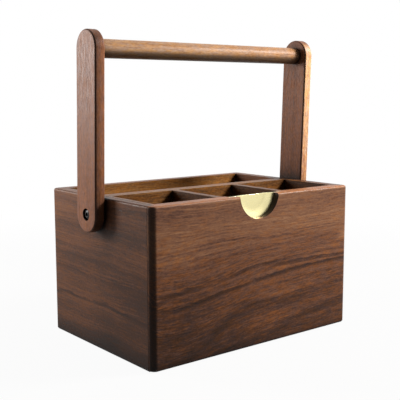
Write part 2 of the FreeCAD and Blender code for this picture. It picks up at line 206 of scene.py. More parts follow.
walnut = {
    "stops": [(0.24, (0.014, 0.0085, 0.0068)), (0.40, (0.058, 0.0255, 0.0155)),
              (0.51, (0.140, 0.0560, 0.0280)), (0.62, (0.218, 0.0900, 0.0390)),
              (0.80, (0.340, 0.1600, 0.0700))],
    "pith": (14.0, -55.0),
    "wander": 6.0,
    "jitter": 0.9,
    "bandsPerMm": 0.085,
    "linesPerMm": 0.75,
    "weights": {"band": 0.26, "line": 0.16, "fibre": 0.30, "mottle": 0.26, "fine": 0.26, "patch": 0.20},
    "tiltAcross": ((-67, 0.0), (67, 0.0)),
    "tiltAlong": ((-115, 0.0), (115, 0.0)),
    "warmFleck": (1.10, 1.01, 0.78),
    "coolFleck": (0.92, 1.01, 1.24),
    "endTone": (0.55, 0.55),
    "cornerPaintedShade": 1.0,
    "paintedTopShading": 1.0,
    "paintedUnderShade": 1.0,
    "paintedEdgeShading": None,
    "paintedTopSheen": ((-67, 0.0), (67, 0.0)),
    "cut": None,
    # painted shade where pieces meet, for every board
    "paintedHollowShade": {"reach": 15.0, "tone": 0.18},
    "paintedFrontLight": None,
    "topRough": (0.32, 0.42),
    "lift": 0.0,
    "streaks": [],
    "flow": None,
    "poreDepth": 0.30,
    "rough": (0.42, 0.58),
    "bump": 0.35,
}

# Each layer of noise: cycles per millimetre along u, v and w, then detail and roughness.
grainNoise = {
    "wander": ((0.008, 0.022, 0.022), 2, 0.5),
    "jitter": ((0.055, 0.20, 0.20), 4, 0.6),
    "broken": ((0.022, 0.10, 0.10), 2, 0.5),
    "fibre": ((0.085, 0.80, 0.80), 4, 0.64),
    "mottle": ((0.36, 0.70, 0.70), 3, 0.6),
    "fine": ((0.34, 2.3, 2.3), 2, 0.6),
    "fleck": ((0.11, 0.42, 0.42), 4, 0.65),
    "patch": ((0.010, 0.020, 0.020), 2, 0.5),
    "pore": ((0.16, 2.4, 2.4), 2, 0.65),
}
yearNoise = {"band": (3, 0.55), "line": (3, 0.6)}
brokenFibre = (0.36, 0.62, 0.15, 1.3)
poreEdge = (0.58, 0.70)
fleckEdge = (0.36, 0.64)
fibreEdge = (0.35, 0.65)
streakWear = (0.15, 0.9, 0.55, 1)
raggedness = {"fibre": 5.0, "jitter": 1.2}
mottleHeight = 0.6
grainDepth = 0.12 * mm
oilShine = 0.085

# How far a surface has to face a way for its tone to start, and to be full.
facings = {
    "top": (0.25, 0.70),
    "under": (-0.50, 0.0),
    "front": (-0.9, -0.5),
    "corner": (0.02, 0.38),
    "end": (0.10, 0.65),
    "cut": (0.05, 0.40),
    "polished": (0.15, 0.60),
}
openness = (0.45, 0.98)


def noise(tree, vector, stretch, detail, roughness=0.5):
    scaled = tree.nodes.new("ShaderNodeVectorMath")
    scaled.operation = "MULTIPLY"
    tree.links.new(vector, scaled.inputs[0])
    scaled.inputs[1].default_value = stretch
    node = tree.nodes.new("ShaderNodeTexNoise")
    node.inputs["Scale"].default_value = 1
    node.inputs["Detail"].default_value = detail
    node.inputs["Roughness"].default_value = roughness
    tree.links.new(scaled.outputs[0], node.inputs["Vector"])
    return node.outputs[0]


def lineNoise(tree, place, detail, roughness):
    node = tree.nodes.new("ShaderNodeTexNoise")
    node.noise_dimensions = "1D"
    node.inputs["Scale"].default_value = 1
    node.inputs["Detail"].default_value = detail
    node.inputs["Roughness"].default_value = roughness
    tree.links.new(place, node.inputs["W"])
    return node.outputs[0]


def centred(tree, value):
    return calc(tree, "SUBTRACT", value, 0.5)


def drawnCurve(tree, place, points, reach, depth):
    # A smooth line through points in millimetres. reach and depth are half the spans along u and v.
    share = ranged(tree, place, -reach, reach, smooth=False)
    node = tree.nodes.new("ShaderNodeFloatCurve")
    curve = node.mapping.curves[0]
    dots = [(u / (2 * reach) + 0.5, v / (2 * depth) + 0.5) for u, v in points]
    curve.points[0].location = dots[0]
    curve.points[1].location = dots[-1]
    for dot in dots[1:-1]:
        curve.points.new(*dot)
    node.mapping.update()
    tree.links.new(share, node.inputs["Value"])
    return ranged(tree, node.outputs[0], 0, 1, -depth, depth, smooth=False)


def multiplied(tree, colour, amount):
    node = tree.nodes.new("ShaderNodeMix")
    node.data_type = "RGBA"
    node.blend_type = "MULTIPLY"
    node.inputs[0].default_value = 1
    tree.links.new(colour, node.inputs[6])
    tree.links.new(amount, node.inputs[7])
    return node.outputs[2]


def toned(tree, tone, stops):
    ramp = tree.nodes.new("ShaderNodeValToRGB")
    ramp.color_ramp.elements[0].position = stops[0][0]
    ramp.color_ramp.elements[0].color = (*stops[0][1], 1)
    ramp.color_ramp.elements[1].position = stops[-1][0]
    ramp.color_ramp.elements[1].color = (*stops[-1][1], 1)
    for position, colour in stops[1:-1]:
        ramp.color_ramp.elements.new(position).color = (*colour, 1)
    tree.links.new(tone, ramp.inputs[0])
    return ramp.outputs[0]


def woodSpace(tree, turn, centre, lean):
    # where a point of the board lies in the pattern, and which way its surface faces
    place = tree.nodes.new("ShaderNodeTexCoord")
    mapping = tree.nodes.new("ShaderNodeMapping")
    rotation = grainTurns[turn] @ Matrix.Rotation(lean, 3, "X")
    mapping.inputs["Scale"].default_value = (1 / mm,) * 3
    mapping.inputs["Rotation"].default_value = rotation.to_euler()
    mapping.inputs["Location"].default_value = -(rotation @ Vector(centre)) / mm
    tree.links.new(place.outputs["Object"], mapping.inputs["Vector"])
    split = tree.nodes.new("ShaderNodeSeparateXYZ")
    tree.links.new(mapping.outputs[0], split.inputs[0])
    way = tree.nodes.new("ShaderNodeSeparateXYZ")
    tree.links.new(place.outputs["Normal"], way.inputs[0])
    ends = tree.nodes.new("ShaderNodeVectorMath")
    ends.operation = "DOT_PRODUCT"
    tree.links.new(place.outputs["Normal"], ends.inputs[0])
    ends.inputs[1].default_value = rotation.inverted() @ Vector((1, 0, 0))
    at = dict(zip("uvw", split.outputs))
    at.update(zip(("leftward", "frontward", "upward"), way.outputs))
    at.update(point=mapping.outputs[0], endward=ends.outputs["Value"])
    return at


def grainAcross(tree, at, jitter, look):
    # the grain wanders, and follows a drawn sweep where the board has one
    wander = centred(tree, noise(tree, at["point"], *grainNoise["wander"]))
    wander = calc(tree, "MULTIPLY", wander, 2 * look["wander"])
    across = calc(tree, "ADD", calc(tree, "ADD", at["v"], wander), jitter)
    flow = look["flow"]
    if flow:
        sweep = drawnCurve(tree, at["u"], flow["path"], flow["reach"], flow["depth"])
        share = ranged(tree, at["v"], flow["fullBelow"], flow["noneAbove"], 1, 0)
        across = calc(tree, "SUBTRACT", across, calc(tree, "MULTIPLY", sweep, share))
    return across


def grainPattern(tree, at, look):
    # growth bands about a pith behind the board, and broken fibres along them
    jitter = centred(tree, noise(tree, at["point"], *grainNoise["jitter"]))
    jitter = calc(tree, "MULTIPLY", jitter, 2 * look["jitter"])
    across = grainAcross(tree, at, jitter, look)
    fromPithV = calc(tree, "POWER", calc(tree, "SUBTRACT", across, look["pith"][0]), 2)
    fromPithW = calc(tree, "POWER", calc(tree, "SUBTRACT", at["w"], look["pith"][1]), 2)
    radius = calc(tree, "SQRT", calc(tree, "ADD", fromPithV, fromPithW))
    year = calc(tree, "MULTIPLY", calc(tree, "ADD", radius, across), 0.5)
    sheared = tree.nodes.new("ShaderNodeCombineXYZ")
    for part, socket in zip((at["u"], across, at["w"]), sheared.inputs):
        tree.links.new(part, socket)
    grain = {name: noise(tree, sheared.outputs[0], *grainNoise[name])
             for name in ("broken", "fibre", "mottle", "fine", "fleck", "pore")}
    for name, key in (("band", "bandsPerMm"), ("line", "linesPerMm")):
        grain[name] = lineNoise(tree, calc(tree, "MULTIPLY", year, look[key]), *yearNoise[name])
    grain["patch"] = noise(tree, at["point"], *grainNoise["patch"])
    grain["broken"] = ranged(tree, grain["broken"], *brokenFibre)
    grain["pore"] = ranged(tree, grain["pore"], *poreEdge)
    grain["jitter"] = jitter
    return grain


def streaked(tree, tone, at, grain, look):
    # dark streaks drawn on this board, ragged along the fibres
    ragged = calc(tree, "MULTIPLY_ADD", grain["jitter"], raggedness["jitter"], at["v"])
    ragged = calc(tree, "MULTIPLY_ADD", centred(tree, grain["fibre"]), raggedness["fibre"], ragged)
    for streak in look["streaks"]:
        path = drawnCurve(tree, at["u"], streak["path"], *look["sheet"])
        away = calc(tree, "SUBTRACT", ragged, path)
        above = ranged(tree, away, 0, streak["above"], 1, 0)
        below = ranged(tree, away, -streak["below"], 0, 0, 1)
        mask = calc(tree, "MULTIPLY", calc(tree, "MULTIPLY", above, below), streak["dark"])
        start, end, fade = streak["from"], streak["to"], streak["fade"]
        inside = ranged(tree, at["u"], start - fade, start + fade)
        past = ranged(tree, at["u"], end - fade, end + fade, 1, 0)
        worn = ranged(tree, grain["broken"], *streakWear)
        length = calc(tree, "MULTIPLY", inside, past)
        mask = calc(tree, "MULTIPLY", calc(tree, "MULTIPLY", mask, worn), length)
        tone = calc(tree, "SUBTRACT", tone, mask)
    return tone


def grainTone(tree, at, grain, look):
    tone = 0.5 + look["lift"]
    for value, ends in ((at["v"], look["tiltAcross"]), (at["u"], look["tiltAlong"])):
        (low, atLow), (high, atHigh) = ends
        tone = calc(tree, "ADD", ranged(tree, value, low, high, atLow, atHigh), tone)
    weights = look["weights"]
    lines = calc(tree, "MULTIPLY", grain["broken"], weights["line"])
    tone = calc(tree, "ADD", tone, calc(tree, "MULTIPLY", centred(tree, grain["line"]), lines))
    for name in ("band", "fibre", "mottle", "fine", "patch"):
        tone = calc(tree, "MULTIPLY_ADD", centred(tree, grain[name]), weights[name], tone)
    return streaked(tree, tone, at, grain, look)


def woodColour(tree, at, tone, look):
    # the side that faces forward can take its own lighter ramp: painted light on that side
    colour = toned(tree, tone, look["stops"])
    ahead = look["paintedFrontLight"]
    if not ahead:
        return colour
    sides = tree.nodes.new("ShaderNodeMix")
    sides.data_type = "RGBA"
    tree.links.new(ranged(tree, at["frontward"], *facings["front"], 1, 0), sides.inputs[0])
    tree.links.new(colour, sides.inputs[6])
    lifted = calc(tree, "ADD", tone, ahead["lift"])
    tree.links.new(toned(tree, lifted, ahead["stops"]), sides.inputs[7])
    return sides.outputs[2]


def endShade(tree, at, grain, look):
    # pores, and end grain that drinks the oil
    shade = calc(tree, "SUBTRACT", 1.0, calc(tree, "MULTIPLY", grain["pore"], look["poreDepth"]))
    for sign, dark in zip((-1, 1), look["endTone"]):
        ends = ranged(tree, calc(tree, "MULTIPLY", at["endward"], sign), *facings["end"], 1, dark)
        shade = calc(tree, "MULTIPLY", shade, ends)
    return shade


def paintCornerShade(tree, at, shade, tone):
    # painted shade on the rounded corner between the left and front faces, where the lamps' light falls off
    between = calc(tree, "MULTIPLY", at["leftward"], at["frontward"])
    frontOnly = calc(tree, "LESS_THAN", at["frontward"], 0.0)
    dark = ranged(tree, between, *facings["corner"], 1, tone)
    dark = calc(tree, "MAXIMUM", dark, calc(tree, "SUBTRACT", 1.0, frontOnly))
    return calc(tree, "MULTIPLY", shade, dark)


def paintEdgeShading(tree, at, shade, fade):
    # painted light and shade across a thin front edge, changing through the board
    (clearAt, clear), (darkAt, dark) = fade
    edge = ranged(tree, at["frontward"], *facings["front"], 1, 0)
    faded = ranged(tree, at["w"], clearAt, darkAt, clear, dark)
    change = calc(tree, "MULTIPLY_ADD", calc(tree, "SUBTRACT", faded, 1.0), edge, 1.0)
    return calc(tree, "MULTIPLY", shade, change)


def cutShade(tree, at, shade, cut):
    # end grain inside the finger notch, darkened further by painted shade of the recess
    away = calc(tree, "ABSOLUTE", at["u"])
    within = ranged(tree, away, cut["half"] - cut["fade"], cut["half"], 1, 0)
    steep = ranged(tree, calc(tree, "ABSOLUTE", at["endward"]), *facings["cut"])
    bare = calc(tree, "MULTIPLY", within, steep)
    return calc(tree, "MULTIPLY", shade, ranged(tree, bare, 0, 1, 1, cut["tone"], smooth=False))


def paintHollowShade(tree, shade, paintedHollowShade):
    # painted shade where pieces meet and in hollows, drawn from ambient occlusion
    hollow = tree.nodes.new("ShaderNodeAmbientOcclusion")
    hollow.samples = 8
    hollow.inputs["Distance"].default_value = paintedHollowShade["reach"] * mm
    kept = ranged(tree, hollow.outputs["AO"], *openness, paintedHollowShade["tone"], 1)
    return calc(tree, "MULTIPLY", shade, kept)


def poresEndsAndPaintedShade(tree, at, grain, look):
    # pores and end grain, then painted light and shade on corners, tops, undersides, edges, the notch and
    # hollows
    shade = endShade(tree, at, grain, look)
    if look["cornerPaintedShade"] < 1:
        shade = paintCornerShade(tree, at, shade, look["cornerPaintedShade"])
    # painted light and shade on the faces that look up
    if look["paintedTopShading"] != 1:
        shade = calc(tree, "MULTIPLY", shade, ranged(tree, at["upward"], *facings["top"], 1, look["paintedTopShading"]))
    # painted shade on the faces that look down
    if look["paintedUnderShade"] != 1:
        under = ranged(tree, at["upward"], *facings["under"], look["paintedUnderShade"], 1)
        shade = calc(tree, "MULTIPLY", shade, under)
    if look["paintedEdgeShading"]:
        shade = paintEdgeShading(tree, at, shade, look["paintedEdgeShading"])
    if look["cut"]:
        shade = cutShade(tree, at, shade, look["cut"])
    return paintHollowShade(tree, shade, look["paintedHollowShade"])


def fleckTint(tree, at, grain, look):
    # warm and cool flecks, with a painted cool sheen towards the top of the board
    tint = tree.nodes.new("ShaderNodeMix")
    tint.data_type = "RGBA"
    (low, atLow), (high, atHigh) = look["paintedTopSheen"]
    facing = ranged(tree, at["upward"], *facings["top"], 1, 0)
    cooler = calc(tree, "MULTIPLY", ranged(tree, at["v"], low, high, atLow, atHigh), facing)
    warmth = calc(tree, "SUBTRACT", ranged(tree, grain["fleck"], *fleckEdge), cooler)
    tree.links.new(warmth, tint.inputs[0])
    tint.inputs[6].default_value = (*look["coolFleck"], 1)
    tint.inputs[7].default_value = (*look["warmFleck"], 1)
    return tint.outputs[2]


def woodFinish(tree, skin, at, grain, look):
    # satin oil, polished where hands and dusting reach, with the pores sunk a little
    fibre = grain["fibre"]
    rough = ranged(tree, fibre, *fibreEdge, *look["rough"])
    polish = ranged(tree, fibre, *fibreEdge, *look["topRough"])
    handled = ranged(tree, at["upward"], *facings["polished"])
    rough = calc(tree, "MULTIPLY_ADD", calc(tree, "SUBTRACT", polish, rough), handled, rough)
    tree.links.new(rough, skin.inputs["Roughness"])
    skin.inputs["Specular IOR Level"].default_value = oilShine
    raised = calc(tree, "ADD", fibre, calc(tree, "MULTIPLY", grain["mottle"], mottleHeight))
    bump = tree.nodes.new("ShaderNodeBump")
    bump.inputs["Strength"].default_value = look["bump"]
    bump.inputs["Distance"].default_value = grainDepth
    tree.links.new(calc(tree, "SUBTRACT", raised, grain["pore"]), bump.inputs["Height"])
    tree.links.new(bump.outputs[0], skin.inputs["Normal"])


def wood(name, turn, centre, changes=None, lean=0.0):
    look = dict(walnut, **(changes or {}))
    material = bpy.data.materials.new(name)
    material.use_nodes = True
    tree = material.node_tree
    skin = tree.nodes["Principled BSDF"]
    at = woodSpace(tree, turn, centre, lean)
    grain = grainPattern(tree, at, look)
    colour = woodColour(tree, at, grainTone(tree, at, grain, look), look)
    shade = poresEndsAndPaintedShade(tree, at, grain, look)
    grey = tree.nodes.new("ShaderNodeCombineColor")
    for socket in grey.inputs[:3]:
        tree.links.new(shade, socket)
    colour = multiplied(tree, colour, fleckTint(tree, at, grain, look))
    colour = multiplied(tree, colour, grey.outputs[0])
    tree.links.new(colour, skin.inputs["Base Color"])
    woodFinish(tree, skin, at, grain, look)
    return material


# Metal and plastic

cloudiness = {"scale": (60, 60, 60), "detail": 2, "edge": (0.3, 0.7)}
markDepth = 0.02 * mm


def plain(name, look):
    # colour, finish and fine marks: scale is in marks per metre along each axis
    material = bpy.data.materials.new(name)
    material.use_nodes = True
    tree = material.node_tree
    skin = tree.nodes["Principled BSDF"]
    place = tree.nodes.new("ShaderNodeTexCoord")
    marks = noise(tree, place.outputs["Object"], look["marks"], 3, 0.6)
    cloud = noise(tree, place.outputs["Object"], cloudiness["scale"], cloudiness["detail"])
    low, high = cloudiness["edge"]
    ramp = tree.nodes.new("ShaderNodeValToRGB")
    ramp.color_ramp.elements[0].position = low
    ramp.color_ramp.elements[0].color = (*look["dark"], 1)
    ramp.color_ramp.elements[1].position = high
    ramp.color_ramp.elements[1].color = (*look["light"], 1)
    tree.links.new(cloud, ramp.inputs[0])
    tree.links.new(ramp.outputs[0], skin.inputs["Base Color"])
    tree.links.new(ranged(tree, marks, low, high, *look["rough"]), skin.inputs["Roughness"])
    skin.inputs["Metallic"].default_value = look["metal"]
    skin.inputs["Specular IOR Level"].default_value = look["shine"]
    bump = tree.nodes.new("ShaderNodeBump")
    bump.inputs["Strength"].default_value = look["bump"]
    bump.inputs["Distance"].default_value = markDepth
    tree.links.new(marks, bump.inputs["Height"])
    tree.links.new(bump.outputs[0], skin.inputs["Normal"])
    return material


brass = plain("satinBrass", {
    "dark": (0.83, 0.740, 0.395), "light": (0.86, 0.775, 0.430), "rough": (0.26, 0.31),
    "marks": (160, 2600, 2600), "metal": 1.0, "shine": 0.5, "bump": 0.01,
})
blackSteel = plain("blackOxide", {
    "dark": (0.003, 0.003, 0.003), "light": (0.008, 0.008, 0.008), "rough": (0.34, 0.50),
    "marks": (900, 900, 900), "metal": 0.0, "shine": 0.20, "bump": 0.2,
})
zincSteel = plain("brightZinc", {
    "dark": (0.50, 0.50, 0.48), "light": (0.66, 0.66, 0.63), "rough": (0.25, 0.42),
    "marks": (900, 900, 900), "metal": 1.0, "shine": 0.5, "bump": 0.2,
})
nylon = plain("blackNylon", {
    "dark": (0.010, 0.010, 0.010), "light": (0.016, 0.016, 0.016), "rough": (0.45, 0.60),
    "marks": (1500, 1500, 1500), "metal": 0.0, "shine": 0.4, "bump": 0.25,
})
print("metal and plastic ready")


# Boards: welded copies of the solids, with their sharp edges eased

eased = {"width": 0.35 * mm, "segments": 2, "angle": 40.0, "weld": 0.001 * mm, "flat": 0.3, "smooth": 32.0}


def middle(node):
    low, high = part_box(node)
    return (low + high) / 2


def bodyOf(node):
    return next(body for body, members in frame["record"]["behaviour"]["bodies"].items() if node in members)


def finished(piece, material, node):
    # bakes the modifiers into a plain mesh, which then rides with the node's body in its place
    bpy.context.view_layer.update()
    baked = bpy.data.meshes.new_from_object(piece.evaluated_get(bpy.context.evaluated_depsgraph_get()))
    piece.modifiers.clear()
    piece.data = baked
    baked.materials.clear()
    baked.materials.append(material)
    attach(piece, bodyOf(node))
    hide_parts(node)
    return piece


def softBoard(name, node, material):
    mesh = nodes[node].data.copy()
    shape = bmesh.new()
    shape.from_mesh(mesh)
    bmesh.ops.remove_doubles(shape, verts=shape.verts, dist=eased["weld"])
    bmesh.ops.dissolve_limit(shape, angle_limit=math.radians(eased["flat"]), verts=shape.verts,
                             edges=shape.edges)
    shape.to_mesh(mesh)
    shape.free()
    mesh.shade_smooth()
    piece = bpy.data.objects.new(name, mesh)
    bpy.context.scene.collection.objects.link(piece)
    bevel = piece.modifiers.new("easing", "BEVEL")
    bevel.width = eased["width"]
    bevel.segments = eased["segments"]
    bevel.limit_method = "ANGLE"
    bevel.angle_limit = math.radians(eased["angle"])
    piece.modifiers.new("flat faces", "WEIGHTED_NORMAL").keep_sharp = True
    return finished(piece, material, node)


# The outer boards carry the dark streaks of the real ones. Paths are in millimetres from the board's centre.

# the front also gets painted shade on its near corner and in the notch, painted light on its top, and a
# painted cool sheen towards its top
frontGrain = {
    "pith": (26.0, -60.0),
    "weights": {"band": 0.27, "line": 0.24, "fibre": 0.38, "mottle": 0.15, "fine": 0.20, "patch": 0.20},
    "endTone": (0.80, 0.75),
    "cut": {"half": 26, "fade": 2, "tone": 0.14},
    "paintedTopShading": 1.30,
    "cornerPaintedShade": 0.28,
    "paintedTopSheen": ((-20, 0.0), (60, 0.65)),
    "warmFleck": (1.14, 1.01, 0.67),
    "coolFleck": (0.91, 1.05, 1.30),
    "tiltAcross": ((-66, -0.080), (64, 0.088)),
    "tiltAlong": ((-110, -0.022), (20, 0.006)),
    "sheet": (115, 67),
    "flow": {"path": [(-115, -6), (-80, -7), (-35, -1), (5, 6), (60, 9), (115, 10)], "reach": 115,
             "depth": 30, "fullBelow": -5, "noneAbove": 45},
    "streaks": [
        {"path": [(-111, -15), (-99, -18.5), (-80, -17.5), (-38, -11.5), (6, -6.5), (38, -3.5), (107, -2)],
         "above": 1.8, "below": 4.0, "dark": 0.15, "from": -116, "to": 125, "fade": 10},
        {"path": [(-111, -10), (-76, -4), (-38, 1), (-2, 5.5), (54, 3.5), (113, 2)],
         "above": 2.5, "below": 5.0, "dark": 0.09, "from": -108, "to": 125, "fade": 14},
        {"path": [(-60, 31), (-48, 33), (-24, 32), (13, 28), (37, 28.5), (71, 26)],
         "above": 2.0, "below": 2.5, "dark": 0.10, "from": -52, "to": 60, "fade": 18},
        {"path": [(-90, -64), (-67, -55), (-46, -44), (-31, -34), (-12, -28), (22, -31), (64, -30)],
         "above": 9.0, "below": 12.0, "dark": 0.08, "from": -85, "to": 60, "fade": 22},
        {"path": [(20, -56), (55, -49), (81, -45), (114, -42)],
         "above": 5.0, "below": 7.0, "dark": 0.07, "from": 22, "to": 125, "fade": 16},
        {"path": [(40, -28), (75, -25), (114, -20)],
         "above": 12.0, "below": 14.0, "dark": 0.05, "from": 58, "to": 125, "fade": 20},
        {"path": [(-110, -44), (-85, -42), (-60, -44), (-40, -48)],
         "above": 8.0, "below": 16.0, "dark": 0.05, "from": -104, "to": -55, "fade": 16},
        {"path": [(-20, -50), (30, -46), (60, -44)],
         "above": 4.0, "below": 4.0, "dark": -0.05, "from": -20, "to": 60, "fade": 18},
        {"path": [(80, 17), (100, 20), (115, 21)],
         "above": 9.0, "below": 8.0, "dark": -0.14, "from": 104, "to": 125, "fade": 5},
    ],
}
# the side walls get painted shade on their tops and a wide painted shade where pieces meet
sideGrain = {
    "pith": (-30.0, -70.0),
    "weights": {"band": 0.30, "line": 0.14, "fibre": 0.26, "mottle": 0.14, "fine": 0.12, "patch": 0.24},
    "warmFleck": (1.04, 1.01, 0.84),
    "coolFleck": (0.95, 1.01, 1.10),
    "lift": -0.045,
    "paintedTopShading": 0.72,
    "paintedHollowShade": {"reach": 24.0, "tone": 0.08},
    "tiltAcross": ((-66, -0.055), (50, 0.010)),
    "tiltAlong": ((-79, -0.035), (60, 0.030)),
    "sheet": (80, 67),
    "streaks": [
        {"path": [(-72, -28.5), (-41, -28), (-12, -25.5), (9, -27), (30, -27.5), (53, -27), (77, -30)],
         "above": 2.5, "below": 3.5, "dark": 0.12, "from": -90, "to": 90, "fade": 10},
        {"path": [(-72, -3), (-41, -4), (-2, -5.5), (40, -3), (76, -3)],
         "above": 3.5, "below": 4.5, "dark": 0.05, "from": -60, "to": 90, "fade": 20},
        {"path": [(-73, -58), (-40, -55), (-7, -57), (29, -59), (78, -60)],
         "above": 7.0, "below": 12.0, "dark": 0.06, "from": -90, "to": 90, "fade": 10},
    ],
}
rightSideGrain = dict(sideGrain, pith=(20.0, 64.0), streaks=sideGrain["streaks"][1:])
# a warmer, more saturated ramp for the faces inside the box: painted warm light bounced within the cells,
# with tops painted a little darker
golden = {
    "stops": [(0.24, (0.035, 0.013, 0.004)), (0.40, (0.092, 0.037, 0.011)), (0.51, (0.176, 0.072, 0.020)),
              (0.62, (0.285, 0.127, 0.034)), (0.80, (0.430, 0.210, 0.062))],
    "weights": {"band": 0.26, "line": 0.16, "fibre": 0.42, "mottle": 0.34, "fine": 0.26, "patch": 0.26},
    "paintedTopShading": 0.85,
}
# the back board's inner face takes the golden ramp as painted warm light
backGrain = {"pith": (-24.0, 58.0), "paintedFrontLight": {"stops": golden["stops"], "lift": 0.05}}
# a darker copy of the golden ramp: painted shade for the cell walls that face away from the key lamp, with
# painted light on their tops
paintedShadeGolden = dict(golden, lift=-0.19, paintedTopShading=1.8)
# painted shade on the outer corner, painted light and shade across the front edge, and a wide painted shade
# where the arm stands by the wall
armGrain = {
    "stops": [(0.24, (0.055, 0.0220, 0.0120)), (0.40, (0.130, 0.0530, 0.0280)),
              (0.51, (0.215, 0.0900, 0.0480)), (0.62, (0.285, 0.1240, 0.0680)),
              (0.80, (0.400, 0.2000, 0.1200))],
    "wander": 3.0, "bandsPerMm": 0.14, "poreDepth": 0.45, "rough": (0.40, 0.54), "cornerPaintedShade": 0.30,
    "lift": 0.03, "paintedEdgeShading": ((-3.5, 1.10), (4.6, 0.48)), "paintedHollowShade": {"reach": 32.0, "tone": 0.06},
}
# the right arm: painted light on its front edge in a paler ramp, and on its top
paintedEdgeLight = {"stops": armGrain["stops"][:-1] + [(0.80, (0.560, 0.350, 0.190))], "lift": 0.25}
rightArmGrain = dict(armGrain, lift=-0.02, paintedFrontLight=paintedEdgeLight, paintedTopShading=1.35,
                     paintedEdgeShading=((3.0, 1.35), (4.6, 0.50)), tiltAlong=((-60, -0.055), (60, 0.022)))
# painted shade under the grip bar and a little on its top
barGrain = {
    "stops": [(0.24, (0.150, 0.066, 0.028)), (0.40, (0.270, 0.134, 0.064)), (0.51, (0.385, 0.218, 0.118)),
              (0.62, (0.480, 0.300, 0.175)), (0.80, (0.620, 0.430, 0.280))],
    "wander": 2.0, "bandsPerMm": 0.2, "rough": (0.36, 0.50), "tiltAlong": ((-110, 0.060), (110, -0.040)),
    "paintedTopShading": 0.88,
    "paintedUnderShade": 0.31,
}
beechGrain = {
    "stops": [(0.24, (0.34, 0.20, 0.11)), (0.40, (0.44, 0.28, 0.165)), (0.51, (0.52, 0.35, 0.215)),
              (0.62, (0.58, 0.41, 0.26)), (0.80, (0.64, 0.47, 0.31))],
    "wander": 2.0, "bandsPerMm": 0.3, "endTone": (0.8, 0.8),
}
armLean = math.radians(2.0)

boards = [
    ("drawerFrontBoard", "drawer_front", "x front", frontGrain),
    ("leftWallBoard", "left_side", "y side", sideGrain),
    ("rightWallBoard", "right_side", "y side", rightSideGrain),
    ("backBoard", "back_panel", "x front", backGrain),
    ("baseBoard", "base_panel", "x flat", {"pith": (20.0, -60.0)}),
    ("partitionBoard", "centre_partition", "x front", golden),
    ("trayBackBoard", "drawer_back", "x front", golden),
    ("trayLeftBoard", "drawer_left_side", "y side", dict(golden, paintedTopShading=0.60)),
    ("trayRightBoard", "drawer_right_side", "y side", paintedShadeGolden),
    ("trayBottomBoard", "drawer_bottom", "x flat", golden),
    ("leftDivider", "drawer_divider_left", "y side", paintedShadeGolden),
    ("rightDivider", "drawer_divider_right", "y side", paintedShadeGolden),
    ("leftHandleArm", "left_arm", "z side", armGrain),
    ("rightHandleArm", "right_arm", "z side", rightArmGrain),
]
for boardName, node, turn, changes in boards:
    lean = -armLean if node.endswith("_arm") else 0.0
    material = wood(boardName + "Walnut", turn, middle(node), changes, lean)
    softBoard(boardName, node, material)
print("boards eased:", len(boards))

for node, turn in (("drawer_runner_left", "y side"), ("drawer_runner_right", "y side"),
                   ("drawer_guide_rail", "y side"), ("corner_dowels", "x flat"),
                   ("drawer_stop_blocks", "x flat")):
    nodes[node].data.materials.clear()
    nodes[node].data.materials.append(wood(node + "Beech", turn, middle(node), beechGrain))

for node, material in (("left_pivot_insert", brass), ("right_pivot_insert", brass),
                       ("drawer_stop_pins", brass), ("drawer_panel_pins", brass)):
    nodes[node].data.materials.clear()
    nodes[node].data.materials.append(material)
print("CAD pieces finished")


# Turned parts: rings along +Z given as (height, radius, outline), closed at a pole or around a hole

def outlineAt(kind, radius, angle):
    # how far the outline lies from the axis: a circle, a hexagon across its flats, or a cross recess
    if kind == "hex":
        return radius / math.cos((angle + math.pi / 6) % (math.pi / 3) - math.pi / 6)
    if kind == "cross":
        near = abs((angle + math.pi / 4) % (math.pi / 2) - math.pi / 4)
        arm = radius * crossArm
        return min(radius / math.cos(near), arm / max(math.sin(near), 1e-6))
    return radius


crossArm = 0.27


def turned(name, rings, sides, around=False):
    shape = bmesh.new()
    loops = []
    for height, radius, kind in rings:
        if radius == 0:
            loops.append([shape.verts.new((0, 0, height))] * sides)
            continue
        loop = []
        for step in range(sides):
            angle = 2 * math.pi * step / sides
            reach = outlineAt(kind, radius, angle)
            loop.append(shape.verts.new((reach * math.cos(angle), reach * math.sin(angle), height)))
        loops.append(loop)
    pairs = list(zip(loops, loops[1:])) + ([(loops[-1], loops[0])] if around else [])
    for low, high in pairs:
        for step in range(sides):
            after = (step + 1) % sides
            corners = []
            for vert in (low[step], low[after], high[after], high[step]):
                if vert not in corners:
                    corners.append(vert)
            shape.faces.new(corners)
    bmesh.ops.recalc_face_normals(shape, faces=shape.faces)
    mesh = bpy.data.meshes.new(name)
    shape.to_mesh(mesh)
    shape.free()
    mesh.shade_smooth()
    mesh.set_sharp_from_angle(angle=math.radians(eased["smooth"]))
    piece = bpy.data.objects.new(name, mesh)
    bpy.context.scene.collection.objects.link(piece)
    return piece


def easedCollar(inner, outer, low, high, ease):
    # a washer or sleeve with its four edges broken
    return [(low, inner + ease, "round"), (low, outer - ease, "round"), (low + ease, outer, "round"),
            (high - ease, outer, "round"), (high, outer - ease, "round"), (high, inner + ease, "round"),
            (high - ease, inner, "round"), (low + ease, inner, "round")]


def laidAlongX(piece, start, sign):
    # turns +Z to the sign's side of X and moves the origin to start
    turn = Matrix.Rotation(math.radians(90 * sign), 4, "Y")
    piece.data.transform(Matrix.Translation(start) @ turn)


# Pivots: button-head bolts with a hexagon socket, their washers, and the spacers against the box

pivot = {
    "headRadius": 4.75, "headHeight": 2.75, "headRim": 0.5, "crown": 2.2, "socket": 1.5, "socketDepth": 1.6,
    "drillPoint": 0.35, "mouthDepth": 0.12, "mouthEase": 0.2, "domeSlope": 0.35,
    "shankRadius": 2.5, "shankLength": 12.0, "chamfer": 0.35, "domeSteps": 7,
    "washer": (2.55, 5.0, 0.15), "spacer": (2.55, 8.0, 0.25), "insert": (2.55, 3.5, 0.3), "sides": 60,
}


